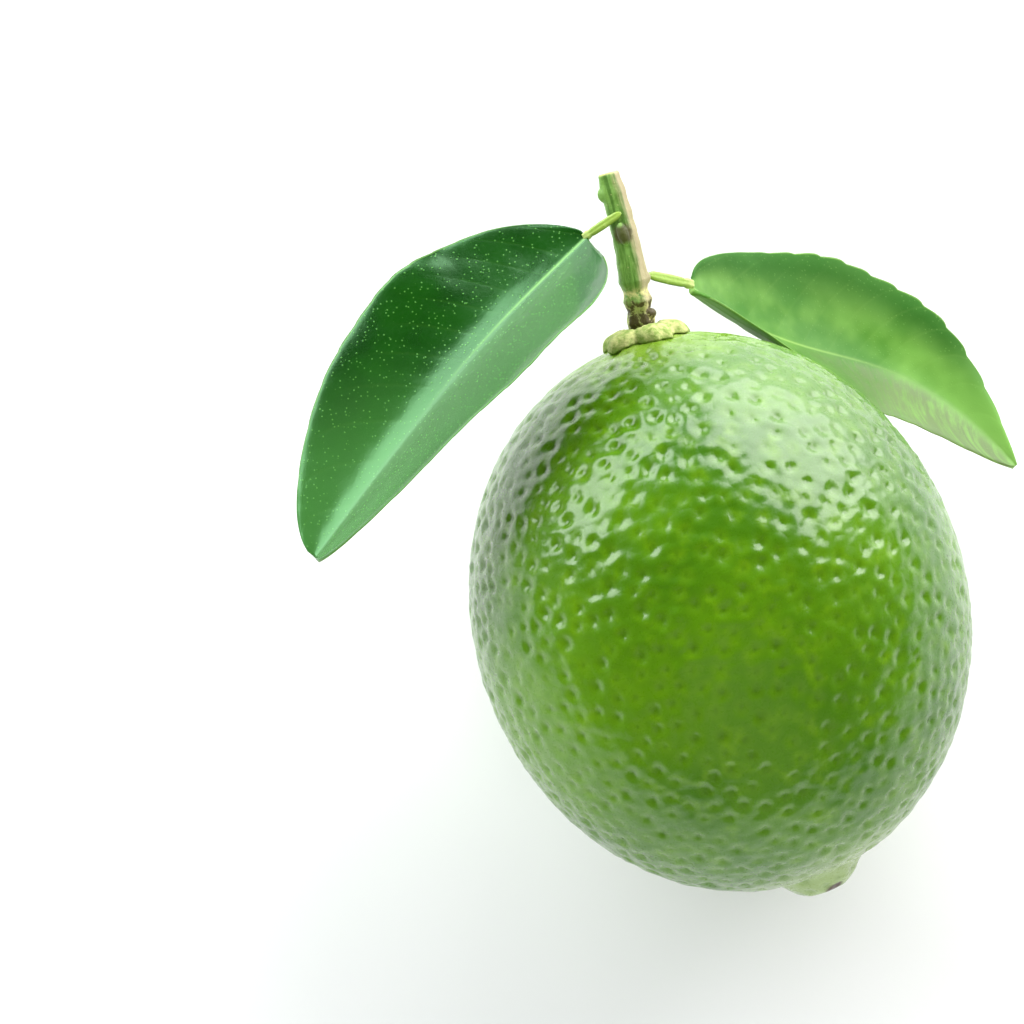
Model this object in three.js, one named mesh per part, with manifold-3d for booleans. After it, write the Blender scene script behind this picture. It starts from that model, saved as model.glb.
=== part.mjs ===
// A lime with its stalk and two leaves, lying on its side.
//
// Millimetres, +Z up. The origin is the middle of the small flat spot that the fruit rests on,
// and the stalk points towards +Y, raised by AXIS_PITCH.

import * as THREE from "three";
import { ConvexGeometry } from "three/addons/geometries/ConvexGeometry.js";
import { mergeVertices } from "three/addons/utils/BufferGeometryUtils.js";
import Module from "manifold-3d";

const wasm = await Module();
wasm.setup();

// Driving sizes of the fruit
const FRUIT_RADIUS = 27;
const FRUIT_HALF_LENGTH = 31;
const AXIS_PITCH = THREE.MathUtils.degToRad(15);
const CENTRE_HEIGHT = 26.7;
const CENTRE_TOWARDS_STALK = 2.1;

// Nipple at the flower end, a little off the axis, with a groove round its foot
const NIPPLE = { offset: 1.4, height: 1.9, radius: 4.1, steepness: 5 };
const NIPPLE_GROOVE = { radius: 5.6, width: 1.2, depth: 0.35 };

// Stalk end: the stalk leaves the fruit a little off the axis, and furrows spread from it
const STALK_OFFSET = 1.8;
const FURROWS = { count: 9, depth: 0.28, start: 5, reach: 12 };

// Skin pits: dimples at SKIN_PITCH from each other, finer round both ends
const SKIN_PITCH = 3.05;
const NIPPLE_PITCH = 1.8;
const NIPPLE_REACH = 8;
const STALK_PITCH = 2.0;
const STALK_REACH = 11;
const PIT_JITTER = 0.2;
const PIT_DEPTH = 0.36;
const END_PIT_DEPTH = 0.16;
const PIT_VARIATION = 0.5;
const CREST_VARIATION = 0.26;
const PIT_CLOSEST = 0.72;
const SKIN_SEED = 7;

// Calyx: a five-lobed star on the skin
const CALYX = { lobes: 5, radius: 4.9, notch: 1.3, thickness: 1.35, rim: 0.85, well: 2.1, wellDepth: 0.9 };
const CALYX_SIDES = 40;
const CALYX_RING_SHARES = [0.05, 0.36, 0.5, 0.72, 0.9, 1];
const CALYX_UNDER_SHARE = 0.985;

// Twig: centre line from the calyx to the cut end, and its radius along that line
const TWIG_LINE = [[1.9, 33.05, 35.05], [2.3, 35.5, 36.3], [2.8, 38.9, 37.5], [3.3, 42.7, 38.8], [3.7, 49.3, 40.9]];
const TWIG_RADII = [1.4, 1.55, 1.2, 1.6, 1.25, 1.65, 1.55, 1.5, 1.45, 1.42, 1.4, 1.36, 1.34, 1.3, 1.34, 1.24, 1.14];
const TWIG_RADIUS_STEP = 1 / (TWIG_RADII.length - 1);
const TWIG_RIDGES = 5;
const TWIG_RIDGE_HEIGHT = 0.09;
const TWIG_RINGS = 34;
const TWIG_SIDES = 15;
const LUMP_TILT = 0.3;
const BUD = { at: [3.0, 42.4, 40.3], size: [0.62, 1.3, 0.62] };
const LEAF_SEAT = { at: [2.75, 45.0, 40.1], size: [0.55, 0.85, 0.5] };
const UPPER_SCAR = { at: [2.6, 47.2, 40.3], size: [0.75, 0.9, 0.7] };
const RIGHT_SEAT = { at: [3.7, 37.9, 37.0], size: [0.9, 0.9, 0.75] };
const KNOB_WART = { at: [3.2, 34.0, 36.4], size: [0.7, 0.6, 0.6] };

// Petioles: start, end, half width and half thickness
const PETIOLE_LEFT = { from: [1.9, 44.95, 40.55], to: [-0.2, 43.95, 39.3], halfWidth: 0.62, halfThickness: 0.5 };
const PETIOLE_RIGHT = { from: [5.0, 37.9, 36.2], to: [8.7, 36.9, 31.9], halfWidth: 0.55, halfThickness: 0.42 };
const PETIOLE_WING = 1.35;
const PETIOLE_RINGS = 7;
const PETIOLE_SIDES = 10;

// Leaves: midrib as a cubic curve, the way the upper face looks at base and tip, and the two halves,
// named as they lie when the upper face is up and the tip points away
const BLADE_THICKNESS = 0.62;
const BLADE_HALF_COLUMNS = 4;
const BLADE_TEETH = 14;
const BLADE_ROWS_PER_TOOTH = 3;
const LEAF_LEFT = {
  midrib: [[-0.5, 43.8, 39.1], [-12.3, 37.7, 40.8], [-17.3, 35.0, 45.8], [-40.1, 20.2, 37.7]],
  faceAtBase: [-0.31, 0.36, 0.88],
  faceAtTip: [-0.34, 0.44, 0.83],
  leftHalf: { width: 12.5, rise: 0.6, curl: 0.1, basePower: 0.22, tipPower: 0.53, sweep: -0.4, wave: 0.2 },
  rightHalf: { width: 12.5, rise: 0.42, curl: 0.1, basePower: 0.71, tipPower: 0.53, sweep: 0.13, wave: 0.25 },
  toothHeight: 0.25,
};
const LEAF_RIGHT = {
  midrib: [[9.1, 36.4, 31.2], [22.4, 25.3, 7.1], [29.7, 30.1, 15.2], [38.7, 8.7, 13.4]],
  faceAtBase: [0.69, 0.43, 0.57],
  faceAtTip: [0.21, 0.01, 0.98],
  leftHalf: { width: 11.1, rise: 0.53, curl: 0.1, basePower: 0.5, tipPower: 1, sweep: -0.21, wave: 0.3 },
  rightHalf: { width: 10.1, rise: 0.51, curl: 0.1, basePower: 0.44, tipPower: 0.71, sweep: -0.15, wave: 0.1 },
  toothHeight: 0.4,
};
const BLADE_WAVES = 3;
const BLADE_SPAN = [0.004, 0.996];
const BLADE_BASE_WIDTH = 0.6;
const BLADE_TIP_WIDTH = 0.35;
const FOLD_SOFTNESS = 0.4;

// Clearance between neighbouring solids
const GAP = 0.3;

const UP = new THREE.Vector3(0, 0, 1);

// Seeded numbers between 0 and 1
function seededRandom(seed) {
  let state = seed;
  return () => {
    state = (state * 1664525 + 1013904223) % 4294967296;
    return state / 4294967296;
  };
}

// A closed body from a list of vertices and a list of triangles
function body(vertices, triangles) {
  const geometry = new THREE.BufferGeometry();
  geometry.setAttribute("position", new THREE.Float32BufferAttribute(vertices.flatMap((v) => [v.x, v.y, v.z]), 3));
  geometry.setIndex(triangles.flat());
  geometry.computeVertexNormals();
  return geometry;
}

// A closed body through rings of points that turn right-handed about the way they travel
function loft(rings) {
  const sides = rings[0].length;
  const vertices = rings.flat();
  const triangles = [];
  for (let ring = 0; ring < rings.length - 1; ring++) {
    for (let side = 0; side < sides; side++) {
      const a = ring * sides + side;
      const b = ring * sides + ((side + 1) % sides);
      triangles.push([a, b, b + sides], [a, b + sides, a + sides]);
    }
  }
  const middle = (ring) => ring.reduce((sum, v) => sum.add(v), new THREE.Vector3()).divideScalar(sides);
  const start = vertices.push(middle(rings[0])) - 1;
  const end = vertices.push(middle(rings.at(-1))) - 1;
  const last = (rings.length - 1) * sides;
  for (let side = 0; side < sides; side++) {
    const next = (side + 1) % sides;
    triangles.push([start, next, side], [end, last + side, last + next]);
  }
  return body(vertices, triangles);
}

// A closed slab between two grids of points, split alike on both faces; the first grid is the upper one
function slab(upper, lower) {
  const rows = upper.length;
  const columns = upper[0].length;
  const vertices = [...upper.flat(), ...lower.flat()];
  const below = rows * columns;
  const at = (row, column) => row * columns + column;
  const triangles = [];
  const wall = (a, b) => triangles.push([a, a + below, b + below], [a, b + below, b]);
  for (let row = 0; row < rows - 1; row++) {
    for (let column = 0; column < columns - 1; column++) {
      const [a, b] = [at(row, column), at(row, column + 1)];
      const [c, d] = [at(row + 1, column + 1), at(row + 1, column)];
      triangles.push([a, b, c], [a, c, d]);
      triangles.push([a + below, c + below, b + below], [a + below, d + below, c + below]);
    }
    wall(at(row + 1, 0), at(row, 0));
    wall(at(row, columns - 1), at(row + 1, columns - 1));
  }
  for (let column = 0; column < columns - 1; column++) {
    wall(at(0, column), at(0, column + 1));
    wall(at(rows - 1, column + 1), at(rows - 1, column));
  }
  return body(vertices, triangles);
}

// A geometry as a solid that can be joined
function solid(geometry) {
  const bare = geometry.clone();
  bare.deleteAttribute("normal");
  bare.deleteAttribute("uv");
  const merged = mergeVertices(bare, 1e-4);
  const vertProperties = new Float32Array(merged.getAttribute("position").array);
  const triVerts = new Uint32Array(merged.getIndex().array);
  return new wasm.Manifold(new wasm.Mesh({ numProp: 3, vertProperties, triVerts }));
}

// Several overlapping geometries as one body
function joined(...geometries) {
  const mesh = geometries.map(solid).reduce((sum, next) => sum.add(next)).getMesh();
  const geometry = new THREE.BufferGeometry();
  geometry.setAttribute("position", new THREE.Float32BufferAttribute(mesh.vertProperties, 3));
  geometry.setIndex([...mesh.triVerts]);
  geometry.computeVertexNormals();
  return geometry;
}

// The smooth fruit surface along a direction from its centre, before any pits
function skinPoint(direction) {
  const { x, y, z } = direction;
  const around = Math.atan2(y, x);
  const belly = 1 - z * z;
  const lumps = 0.004 * belly * Math.sin(3 * around + 0.7) + 0.003 * belly * z * Math.cos(2 * around - 0.5);
  const point = new THREE.Vector3(x * FRUIT_RADIUS, y * FRUIT_RADIUS, z * FRUIT_HALF_LENGTH);
  point.multiplyScalar(1 + lumps);
  if (z < 0) {
    const fromNipple = Math.hypot(point.x - NIPPLE.offset, point.y);
    const dome = NIPPLE.height * Math.exp(-((fromNipple / NIPPLE.radius) ** NIPPLE.steepness));
    const fromGroove = (fromNipple - NIPPLE_GROOVE.radius) / NIPPLE_GROOVE.width;
    point.z -= dome - NIPPLE_GROOVE.depth * Math.exp(-(fromGroove ** 2));
  } else {
    const fromStalk = Math.hypot(point.x - STALK_OFFSET, point.y);
    const turn = Math.atan2(point.y, point.x - STALK_OFFSET);
    const along = THREE.MathUtils.smoothstep(fromStalk, FURROWS.start - 2, FURROWS.start + 1);
    const fade = 1 - THREE.MathUtils.smoothstep(fromStalk, FURROWS.start + 1, FURROWS.reach);
    const furrow = Math.abs(Math.sin((FURROWS.count * turn) / 2)) ** 3;
    point.z -= FURROWS.depth * along * fade * furrow;
  }
  return point;
}

// Outward direction of the plain fruit shape at a surface point
function skinNormal(point) {
  const across = FRUIT_RADIUS ** 2;
  return new THREE.Vector3(point.x / across, point.y / across, point.z / FRUIT_HALF_LENGTH ** 2).normalize();
}

// Directions spread evenly over the sphere, one for each pit, with a seeded jitter
function pitDirections() {
  const random = seededRandom(SKIN_SEED);
  const area = 4 * Math.PI * FRUIT_RADIUS * FRUIT_HALF_LENGTH * 0.97;
  const kept = [];
  const zones = [
    { pitch: NIPPLE_PITCH, inside: (p) => p.z < 0 && Math.hypot(p.x - NIPPLE.offset, p.y) < NIPPLE_REACH },
    { pitch: STALK_PITCH, inside: (p) => p.z > 0 && Math.hypot(p.x - STALK_OFFSET, p.y) < STALK_REACH },
    { pitch: SKIN_PITCH, inside: () => true },
  ];
  for (const zone of zones) {
    const count = Math.round(area / (0.866 * zone.pitch ** 2));
    for (let index = 0; index < count; index++) {
      const z = 1 - (2 * index + 1) / count;
      const turn = index * Math.PI * (3 - Math.sqrt(5));
      const ring = Math.sqrt(1 - z * z);
      const direction = new THREE.Vector3(ring * Math.cos(turn), ring * Math.sin(turn), z);
      const jitter = (2 * PIT_JITTER * zone.pitch) / FRUIT_RADIUS;
      direction.x += (random() - 0.5) * jitter;
      direction.y += (random() - 0.5) * jitter;
      direction.z += (random() - 0.5) * jitter;
      direction.normalize();
      const closest = (PIT_CLOSEST * zone.pitch) / FRUIT_RADIUS;
      const free = kept.every((other) => other.distanceTo(direction) > closest);
      if (zone.inside(skinPoint(direction)) && free) kept.push(direction);
    }
  }
  return kept;
}

// The fruit: each pit is a low vertex, the skin between three pits a high one
function fruitGeometry() {
  const hull = new ConvexGeometry(pitDirections());
  hull.deleteAttribute("normal");
  const merged = mergeVertices(hull, 1e-4);
  const position = merged.getAttribute("position");
  const index = merged.getIndex().array;
  const random = seededRandom(SKIN_SEED);
  const directions = Array.from({ length: position.count }, (_, i) => new THREE.Vector3().fromBufferAttribute(position, i));
  const up = UP.clone().applyAxisAngle(new THREE.Vector3(1, 0, 0), Math.PI / 2 - AXIS_PITCH);
  const rested = (point) => {
    const height = CENTRE_HEIGHT + point.dot(up);
    return height < 0 ? point.addScaledVector(up, -height) : point;
  };
  const vertices = directions.map((direction) => {
    const point = skinPoint(direction);
    const nearEnd = Math.hypot(point.x, point.y) < NIPPLE_REACH;
    const depth = nearEnd ? END_PIT_DEPTH : PIT_DEPTH;
    const share = 1 + PIT_VARIATION * (2 * random() - 1);
    return rested(point.addScaledVector(skinNormal(point), -depth * share));
  });
  const crestOfEdge = new Map();
  for (let face = 0; face < index.length; face += 3) {
    const corners = [index[face], index[face + 1], index[face + 2]];
    const middle = corners.reduce((sum, corner) => sum.add(directions[corner]), new THREE.Vector3()).normalize();
    const point = skinPoint(middle);
    const lift = CREST_VARIATION * (random() - 0.5);
    const crest = vertices.push(rested(point.addScaledVector(skinNormal(point), lift))) - 1;
    corners.forEach((corner, i) => crestOfEdge.set(`${corner} ${corners[(i + 1) % 3]}`, crest));
  }
  const triangles = [];
  for (const [edge, left] of crestOfEdge) {
    const [from, to] = edge.split(" ").map(Number);
    triangles.push([from, crestOfEdge.get(`${to} ${from}`), left]);
  }
  return body(vertices, triangles);
}

// Height of the skin over a place near the stalk end, in the fruit's own frame
function skinTop(x, y) {
  const direction = new THREE.Vector3(x / FRUIT_RADIUS, y / FRUIT_RADIUS, 0);
  direction.z = Math.sqrt(1 - direction.lengthSq());
  return skinPoint(direction).z;
}

// The calyx: its underside follows the skin, and a well in its top takes the foot of the twig
function calyxGeometry() {
  const { lobes, radius, notch, thickness, rim, well, wellDepth } = CALYX;
  const edge = (turn) => radius - notch * (0.5 - 0.5 * Math.cos(lobes * turn)) ** 1.5;
  const ring = (share, lift) =>
    Array.from({ length: CALYX_SIDES }, (_, side) => {
      const turn = (-side / CALYX_SIDES) * 2 * Math.PI;
      const reach = share * edge(turn);
      const x = STALK_OFFSET + reach * Math.cos(turn);
      const y = reach * Math.sin(turn);
      const floor = skinTop(x, y) + GAP;
      const top = reach < well ? thickness - wellDepth : thickness;
      const height = lift === "top" ? THREE.MathUtils.lerp(top, rim, share ** 4) : 0;
      return new THREE.Vector3(x, y, floor + height);
    });
  const top = CALYX_RING_SHARES.map((share) => ring(share, "top"));
  const under = CALYX_RING_SHARES.toReversed().map((share) => ring(share * CALYX_UNDER_SHARE, "under"));
  return loft([...top, ...under]);
}

// A round lump as an ellipsoid, turned along the twig
function lump({ at, size }) {
  const [x, y, z] = size;
  const geometry = new THREE.SphereGeometry(1, 10, 8);
  geometry.scale(x, y, z);
  geometry.rotateX(LUMP_TILT);
  geometry.translate(...at);
  return geometry;
}

// The twig: a ridged tapering stalk with its knobs, joined with the bud, the leaf seats and the scar
function twigGeometry() {
  const line = new THREE.CatmullRomCurve3(TWIG_LINE.map((p) => new THREE.Vector3(...p)));
  const rings = Array.from({ length: TWIG_RINGS }, (_, ring) => {
    const share = ring / (TWIG_RINGS - 1);
    const centre = line.getPointAt(share);
    const along = line.getTangentAt(share);
    const side = new THREE.Vector3(1, 0, 0).addScaledVector(along, -along.x).normalize();
    const over = along.clone().cross(side);
    const place = Math.min(share / TWIG_RADIUS_STEP, TWIG_RADII.length - 1.001);
    const lower = Math.floor(place);
    const radius = THREE.MathUtils.lerp(TWIG_RADII[lower], TWIG_RADII[lower + 1], place - lower);
    return Array.from({ length: TWIG_SIDES }, (_, i) => {
      const turn = (i / TWIG_SIDES) * 2 * Math.PI;
      const reach = radius + TWIG_RIDGE_HEIGHT * Math.cos(TWIG_RIDGES * turn);
      return centre
        .clone()
        .addScaledVector(side, reach * Math.cos(turn))
        .addScaledVector(over, reach * Math.sin(turn));
    });
  });
  return joined(loft(rings), lump(BUD), lump(LEAF_SEAT), lump(UPPER_SCAR), lump(RIGHT_SEAT), lump(KNOB_WART));
}

// A petiole: a short flattened stalk that widens a little in the middle
function petioleGeometry({ from, to, halfWidth, halfThickness }) {
  const start = new THREE.Vector3(...from);
  const end = new THREE.Vector3(...to);
  const along = end.clone().sub(start).normalize();
  const side = along.clone().cross(UP).normalize();
  const over = along.clone().cross(side);
  const rings = Array.from({ length: PETIOLE_RINGS }, (_, ring) => {
    const share = ring / (PETIOLE_RINGS - 1);
    const centre = start.clone().lerp(end, share);
    const wing = THREE.MathUtils.lerp(1, PETIOLE_WING, Math.sin(Math.PI * share));
    return Array.from({ length: PETIOLE_SIDES }, (_, i) => {
      const turn = (i / PETIOLE_SIDES) * 2 * Math.PI;
      return centre
        .clone()
        .addScaledVector(side, halfWidth * wing * Math.cos(turn))
        .addScaledVector(over, halfThickness * Math.sin(turn));
    });
  });
  return loft(rings);
}

// Share of the full half width at a place along the midrib, 0 at the ends and 1 at the widest
function widthShare(along, basePower, tipPower) {
  const shape = (t) => t ** basePower * (1 - t) ** tipPower;
  return shape(along) / shape(basePower / (basePower + tipPower));
}

// A place on a blade: along the midrib from 0 to 1, across from -1 on the right edge to 1 on the left one
function bladePoint(leaf, along, across) {
  const points = leaf.midrib.map((p) => new THREE.Vector3(...p));
  const midrib = new THREE.CubicBezierCurve3(...points);
  const t = THREE.MathUtils.clamp(along, 0, 1);
  const centre = midrib.getPoint(t);
  const forward = midrib.getTangent(t);
  const face = new THREE.Vector3(...leaf.faceAtBase).lerp(new THREE.Vector3(...leaf.faceAtTip), t);
  const side = face.clone().cross(forward).normalize();
  const over = forward.clone().cross(side);
  const half = across < 0 ? leaf.rightHalf : leaf.leftHalf;
  const share = Math.abs(across);
  const endWidth = THREE.MathUtils.lerp(BLADE_BASE_WIDTH, BLADE_TIP_WIDTH, t);
  const width = endWidth + (half.width - endWidth) * widthShare(t, half.basePower, half.tipPower);
  const toothPhase = (t * BLADE_TEETH) % 1;
  const tooth = leaf.toothHeight * Math.sin(Math.PI * toothPhase ** 0.7) * share ** 8 * Math.min(1, width / 6);
  const foldHeight = (reach) => Math.hypot(reach, FOLD_SOFTNESS) - FOLD_SOFTNESS;
  const fold = foldHeight(share) / foldHeight(1);
  const wave = half.wave * share ** 2 * Math.sin(2 * Math.PI * BLADE_WAVES * t + across) * Math.sin(Math.PI * t);
  return centre
    .addScaledVector(side, Math.sign(across) * (share * width + tooth))
    .addScaledVector(over, width * (half.rise * fold - half.curl * share ** 2) + wave)
    .addScaledVector(forward, -half.sweep * width * share * (1 - t) ** 2);
}

// A leaf blade: a folded, waved slab with a toothed edge
function bladeGeometry(leaf) {
  const rows = BLADE_TEETH * BLADE_ROWS_PER_TOOTH + 1;
  const columns = 2 * BLADE_HALF_COLUMNS + 1;
  const step = 1e-3;
  const upper = [];
  const lower = [];
  for (let row = 0; row < rows; row++) {
    const along = THREE.MathUtils.lerp(...BLADE_SPAN, row / (rows - 1));
    const uppers = [];
    const lowers = [];
    for (let column = 0; column < columns; column++) {
      const across = 1 - column / BLADE_HALF_COLUMNS;
      const place = bladePoint(leaf, along, across);
      const forward = bladePoint(leaf, along + step, across).sub(bladePoint(leaf, along - step, across));
      const inward = bladePoint(leaf, along, across * 0.98 - 0.01).sub(bladePoint(leaf, along, across * 0.98 + 0.01));
      const normal = inward.cross(forward).normalize();
      uppers.push(place.clone().addScaledVector(normal, BLADE_THICKNESS / 2));
      lowers.push(place.clone().addScaledVector(normal, -BLADE_THICKNESS / 2));
    }
    upper.push(uppers);
    lower.push(lowers);
  }
  return slab(upper, lower);
}

// A named sub-part with its colour
function piece(name, geometry, color, roughness) {
  const mesh = new THREE.Mesh(geometry, new THREE.MeshStandardMaterial({ color, roughness, metalness: 0 }));
  mesh.name = name;
  return mesh;
}

const lime = new THREE.Group();
lime.name = "lime";

const fruitFrame = new THREE.Group();
fruitFrame.position.set(0, CENTRE_TOWARDS_STALK, CENTRE_HEIGHT);
fruitFrame.rotation.x = AXIS_PITCH - Math.PI / 2;
fruitFrame.add(piece("fruit", fruitGeometry(), 0x5a9608, 0.32));
fruitFrame.add(piece("calyx", calyxGeometry(), 0xb4c07a, 0.7));
lime.add(fruitFrame);

lime.add(piece("twig", twigGeometry(), 0x9aa66a, 0.65));
lime.add(piece("petiole_left", petioleGeometry(PETIOLE_LEFT), 0xa8c84a, 0.5));
lime.add(piece("petiole_right", petioleGeometry(PETIOLE_RIGHT), 0x9cbc4e, 0.5));
lime.add(piece("leaf_left", bladeGeometry(LEAF_LEFT), 0x1c5a20, 0.38));
lime.add(piece("leaf_right", bladeGeometry(LEAF_RIGHT), 0x4f9238, 0.42));

export default lime;
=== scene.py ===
"""A lime with its stalk and two leaves, lying on its side on a pale surface.

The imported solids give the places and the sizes. Each grown part is made here again with its fine form and
its finish: the pitted rind, the dry calyx, the woody twig, the petioles and the veined leaf blades. Lengths
in the dataclasses are millimetres unless they say otherwise, and become metres when a mesh is written.
"""
import logging
import math
from dataclasses import dataclass, field
from enum import Enum
from typing import Callable, Union

import bpy
import numpy as np
from mathutils import Matrix, Vector


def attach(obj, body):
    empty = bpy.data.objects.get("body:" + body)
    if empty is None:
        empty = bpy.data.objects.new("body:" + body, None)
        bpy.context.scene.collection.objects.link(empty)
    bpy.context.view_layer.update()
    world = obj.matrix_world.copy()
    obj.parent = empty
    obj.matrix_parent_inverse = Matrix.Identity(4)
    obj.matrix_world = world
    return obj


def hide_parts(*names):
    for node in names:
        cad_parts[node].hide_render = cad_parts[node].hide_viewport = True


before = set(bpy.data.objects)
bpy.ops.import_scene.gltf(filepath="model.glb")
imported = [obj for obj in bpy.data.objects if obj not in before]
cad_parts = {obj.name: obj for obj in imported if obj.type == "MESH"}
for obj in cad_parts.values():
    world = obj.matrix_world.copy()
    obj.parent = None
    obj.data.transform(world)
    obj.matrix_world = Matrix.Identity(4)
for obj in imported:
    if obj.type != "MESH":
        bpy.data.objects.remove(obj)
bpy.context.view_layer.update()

MM = 0.001
BODY = "root"
AXIS_PITCH = math.radians(15)
CENTRE = np.array([0.0, 2.1, 26.7])

log = logging.getLogger("lime")

Number = Union[float, "Value"]
Colour = tuple[float, float, float]


class Slot(Enum):
    """Material slots of the record that the pieces take their finish from."""

    SKIN = "lime_skin"
    CALYX = "calyx"
    BARK = "twig_bark"
    PETIOLE = "petiole"
    DARK_LEAF = "leaf_dark"
    LIGHT_LEAF = "leaf_light"


class Face(Enum):
    """The two faces of a leaf blade."""

    UPPER = 0
    UNDER = 1


class Value:
    """A node socket that can be used in sums: each sum adds its Math node to the tree."""

    def __init__(self, nodes: "Nodes", socket: bpy.types.NodeSocket) -> None:
        """Wrap one output socket.

        Args:
            nodes: The helper that owns the tree.
            socket: The output socket.
        """
        self.nodes = nodes
        self.socket = socket

    def math(self, operation: str, *others: Number) -> "Value":
        """Add one Math node.

        Args:
            operation: The name of the operation.
            others: The second and third values, where it has them.

        Returns:
            The result.
        """
        inputs = dict(enumerate((self, *others)))
        return self.nodes.add("ShaderNodeMath", {"operation": operation}, inputs)

    def __add__(self, other: Number) -> "Value":
        """Sum."""
        return self.math("ADD", other)

    __radd__ = __add__

    def __sub__(self, other: Number) -> "Value":
        """Difference."""
        return self.math("SUBTRACT", other)

    def __rsub__(self, other: float) -> "Value":
        """Difference, from the right."""
        return (self * -1.0) + other

    def __mul__(self, other: Number) -> "Value":
        """Product."""
        return self.math("MULTIPLY", other)

    def __truediv__(self, other: Number) -> "Value":
        """Quotient."""
        return self.math("DIVIDE", other)

    def __rtruediv__(self, other: float) -> "Value":
        """Quotient, from the right."""
        return (self**-1.0) * other

    def __pow__(self, other: Number) -> "Value":
        """Power."""
        return self.math("POWER", other)

    def __neg__(self) -> "Value":
        """Negative."""
        return self * -1.0

    def __abs__(self) -> "Value":
        """Absolute value."""
        return self.math("ABSOLUTE")

    def exp(self) -> "Value":
        """Power of e."""
        return self.math("EXPONENT")

    def bell(self, width: Number) -> "Value":
        """A round hump of height 1 where the value is 0."""
        return (-((self / width) ** 2.0)).exp()

    def fraction(self) -> "Value":
        """Part after the point."""
        return self.math("FRACT")

    def most(self, other: Number) -> "Value":
        """The larger of two."""
        return self.math("MAXIMUM", other)

    def smooth(self, start: Number, end: Number) -> "Value":
        """Rise smoothly from 0 at start to 1 at end.

        Args:
            start: Where the rise starts; it may lie above end for a fall.
            end: Where the rise ends.

        Returns:
            A value from 0 to 1.
        """
        if isinstance(start, float) and isinstance(end, float) and start > end:
            return 1.0 - self.smooth(end, start)
        inputs = {"Value": self, "From Min": start, "From Max": end}
        return self.nodes.add("ShaderNodeMapRange", {"interpolation_type": "SMOOTHSTEP"}, inputs)


class Nodes:
    """Adds nodes to a shader tree or a geometry tree."""

    def __init__(self, tree: bpy.types.NodeTree) -> None:
        """Take the tree to build in."""
        self.tree = tree

    def add(self, kind: str, settings: dict, inputs: dict, output: Union[int, str] = 0) -> Value:
        """Add one node of any type.

        Args:
            kind: The node's type.
            settings: Properties of the node, set first.
            inputs: Values or wrapped sockets, by socket name or place.
            output: The output that is wanted.

        Returns:
            The wrapped output.
        """
        node = self.tree.nodes.new(kind)
        for name, setting in settings.items():
            setattr(node, name, setting)
        for key, value in inputs.items():
            target = node.inputs[key]
            if isinstance(value, Value):
                self.tree.links.new(value.socket, target)
            else:
                target.default_value = value
        return Value(self, node.outputs[output] if node.outputs else None)

    def also(self, value: Value, output: Union[int, str]) -> Value:
        """Another output of the node that a value comes from."""
        return Value(self, value.socket.node.outputs[output])

    def vector(self, operation: str, *values: Union[Value, tuple], output: str = "Vector") -> Value:
        """Add one Vector Math node.

        Args:
            operation: The name of the operation.
            values: The vectors, or a vector and its scale.
            output: The output that is wanted.

        Returns:
            The result.
        """
        inputs = {0: values[0], "Scale": values[1]} if operation == "SCALE" else dict(enumerate(values))
        return self.add("ShaderNodeVectorMath", {"operation": operation}, inputs, output)

    def parts(self, vector: Value) -> tuple[Value, Value, Value]:
        """The three numbers of a vector."""
        x = self.add("ShaderNodeSeparateXYZ", {}, {0: vector})
        return x, self.also(x, 1), self.also(x, 2)

    def length(self, vector: Value) -> Value:
        """The length of a vector."""
        return self.vector("LENGTH", vector, output="Value")


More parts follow.
